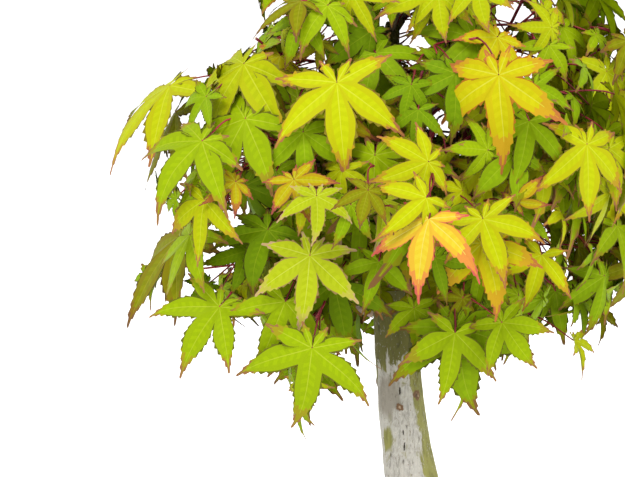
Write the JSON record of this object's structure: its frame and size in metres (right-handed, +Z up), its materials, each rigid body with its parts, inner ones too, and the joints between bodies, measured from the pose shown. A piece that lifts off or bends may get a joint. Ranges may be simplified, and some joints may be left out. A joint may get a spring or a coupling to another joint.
{
  "type": "japanese maple bonsai tree",
  "caption": "Small leaning Japanese maple trained as a bonsai: a flared trunk, tapering boughs and a domed crown of hanging palmate leaves, green turning yellow.",
  "frame": {"origin": "middle of the flat cut under the trunk, at ground level", "axes": "+Z straight up, +X to the tree's right seen from the front, -Y towards the front; the trunk leans towards -X as it rises"},
  "size_m": [0.283, 0.2871, 0.3358],
  "materials": {
    "bark": "dry bark, pale grey with olive green and dark flecks, fine upright fibres",
    "bough_bark": "young bark, grey-brown, smooth to lightly lined",
    "shoot_red": "smooth young shoots and leaf stalks, dark crimson",
    "leaf_green": "thin leaf, soft satin, mid green with pale veins and a russet edge",
    "leaf_lime": "thin leaf, soft satin, lime green with pale veins and a russet edge",
    "leaf_yellow": "thin leaf, soft satin, autumn yellow with pale veins and an orange-russet edge",
    "leaf_orange": "thin leaf, soft satin, autumn orange-yellow with coral red tips"
  },
  "bodies": {
    "root": {"trunk": "bark", "bough_left_low": "bough_bark", "bough_right_low": "bough_bark", "bough_back_low": "bough_bark", "bough_front_left": "bough_bark", "bough_front_right": "bough_bark", "bough_left": "bough_bark", "bough_back_right": "bough_bark", "bough_back_left": "bough_bark", "bough_upper_right": "bough_bark", "bough_upper_left": "bough_bark", "foliage_skirt_right": "leaf_green", "foliage_skirt_back_right": "leaf_green", "foliage_skirt_back": "leaf_green", "foliage_skirt_back_left": "leaf_green", "foliage_skirt_left": "leaf_green", "foliage_skirt_front_left": "leaf_lime", "foliage_skirt_front_right": "leaf_green", "foliage_shoulder_right": "leaf_green", "foliage_shoulder_back_right": "leaf_green", "foliage_shoulder_back": "leaf_green", "foliage_shoulder_back_left": "leaf_green", "foliage_shoulder_left": "leaf_lime", "foliage_shoulder_front_left": "leaf_green", "foliage_shoulder_front": "leaf_yellow", "foliage_shoulder_front_right": "leaf_yellow", "foliage_upper_right": "leaf_green", "foliage_upper_back_right": "leaf_green", "foliage_upper_back_left": "leaf_green", "foliage_upper_left": "leaf_green", "foliage_upper_front_left": "leaf_lime", "foliage_upper_front_right": "leaf_lime", "foliage_top_centre": "leaf_green"}
  },
  "joints": []
}
